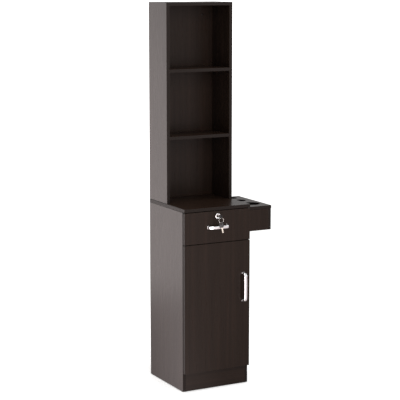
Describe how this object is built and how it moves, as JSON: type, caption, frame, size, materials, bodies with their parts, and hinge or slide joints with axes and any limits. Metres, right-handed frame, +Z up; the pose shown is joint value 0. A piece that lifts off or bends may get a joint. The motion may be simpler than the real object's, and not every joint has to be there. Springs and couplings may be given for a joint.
{
  "type": "barber station",
  "caption": "Tall narrow wall-fixed barber station with open shelf tower, locking drawer, hinged cupboard door and side holder with round tool holes.",
  "frame": {"origin": "on the floor, under the middle of the bounding box", "axes": "+Z up, -Y the front with drawer and door, +Y the wall, +X the side with the tool holder"},
  "size_m": [0.46, 0.3902, 1.75],
  "materials": {
    "espresso_melamine": "satin",
    "dark_hardboard": "matte",
    "zinc_plated_steel": "satin",
    "polished_chrome": "polished",
    "nickel_plated_steel": "polished",
    "white_coated_steel": "satin",
    "white_nylon": "satin",
    "black_plastic": "satin",
    "dark_zinc": "satin",
    "grey_rubber": "matte",
    "beech_wood": "matte"
  },
  "bodies": {
    "station": {"floor_glides": "black_plastic", "base_left_panel": "espresso_melamine", "base_right_panel": "espresso_melamine", "base_bottom_panel": "espresso_melamine", "plinth_board": "espresso_melamine", "base_back_panel": "dark_hardboard", "divider_rail": "espresso_melamine", "base_rear_rail": "espresso_melamine", "cabinet_shelf": "espresso_melamine", "shelf_pins": "zinc_plated_steel", "countertop": "espresso_melamine", "tower_left_panel": "espresso_melamine", "tower_right_panel": "espresso_melamine", "tower_top_panel": "espresso_melamine", "tower_upper_shelf": "espresso_melamine", "tower_lower_shelf": "espresso_melamine", "tower_back_panel": "espresso_melamine", "holder_top": "espresso_melamine", "holder_front": "espresso_melamine", "holder_back": "espresso_melamine", "holder_outer_side": "espresso_melamine", "cam_discs": "zinc_plated_steel", "cam_bolts": "zinc_plated_steel", "wood_dowels": "beech_wood", "lock_keeper": "zinc_plated_steel", "magnetic_catch": "black_plastic", "cabinet_runners": "white_coated_steel", "hinge_arms": "zinc_plated_steel", "hinge_plates": "zinc_plated_steel"},
    "drawer": {"drawer_front": "espresso_melamine", "drawer_left_side": "espresso_melamine", "drawer_right_side": "espresso_melamine", "drawer_back_board": "espresso_melamine", "drawer_bottom": "dark_hardboard", "drawer_dowels": "beech_wood", "drawer_runners": "white_coated_steel", "drawer_handle": "polished_chrome", "drawer_handle_screws": "zinc_plated_steel", "drawer_bumpers": "grey_rubber", "lock_housing": "polished_chrome", "lock_nut": "zinc_plated_steel"},
    "front_rollers": {"cabinet_rollers": "white_nylon"},
    "rear_rollers": {"drawer_rollers": "white_nylon"},
    "lock_key": {"lock_plug": "dark_zinc", "lock_cam": "zinc_plated_steel", "cam_screw": "zinc_plated_steel", "key_blade": "nickel_plated_steel", "key_head": "black_plastic"},
    "key_ring_body": {"key_ring": "nickel_plated_steel"},
    "spare_key": {"spare_key_blade": "nickel_plated_steel", "spare_key_head": "black_plastic"},
    "door": {"door_panel": "espresso_melamine", "door_handle": "polished_chrome", "door_handle_screws": "zinc_plated_steel", "door_bumpers": "grey_rubber", "hinge_cups": "zinc_plated_steel", "hinge_pins": "zinc_plated_steel", "catch_plate": "zinc_plated_steel"}
  },
  "joints": [
    {"name": "drawer_slide", "type": "slide", "parent": "station", "child": "drawer", "axis": [0, -1, 0], "range_m": [0, 0.21]},
    {"name": "front_roller_spin", "type": "hinge", "parent": "station", "child": "front_rollers", "pos_m": [-0.0615, -0.12251, 0.7027], "axis": [1, 0, 0], "range_deg": [-1, 1340]},
    {"name": "rear_roller_spin", "type": "hinge", "parent": "drawer", "child": "rear_rollers", "pos_m": [-0.0615, 0.15049, 0.7005], "axis": [1, 0, 0], "range_deg": [-1, 1340]},
    {"name": "door_swing", "type": "hinge", "parent": "station", "child": "door", "pos_m": [-0.2225, -0.14731, 0.383], "axis": [0, 0, -1], "range_deg": [0, 95]},
    {"name": "key_turn", "type": "hinge", "parent": "drawer", "child": "lock_key", "pos_m": [-0.0615, -0.15451, 0.802], "axis": [0, 1, 0], "range_deg": [0, 90]},
    {"name": "ring_hang", "type": "hinge", "parent": "lock_key", "child": "key_ring_body", "pos_m": [-0.0615, -0.18719, 0.79645], "axis": [0, 1, 0], "range_deg": [-91, 1]},
    {"name": "spare_key_swing", "type": "hinge", "parent": "key_ring_body", "child": "spare_key", "pos_m": [-0.0615, -0.18719, 0.77605], "axis": [1, 0, 0], "range_deg": [-40, 0]}
  ],
  "couplings": [
    {"joint": "front_roller_spin", "follows": "drawer_slide", "rad_per_m": 111.11},
    {"joint": "rear_roller_spin", "follows": "drawer_slide", "rad_per_m": 111.11},
    {"joint": "ring_hang", "follows": "key_turn", "ratio": -1}
  ]
}
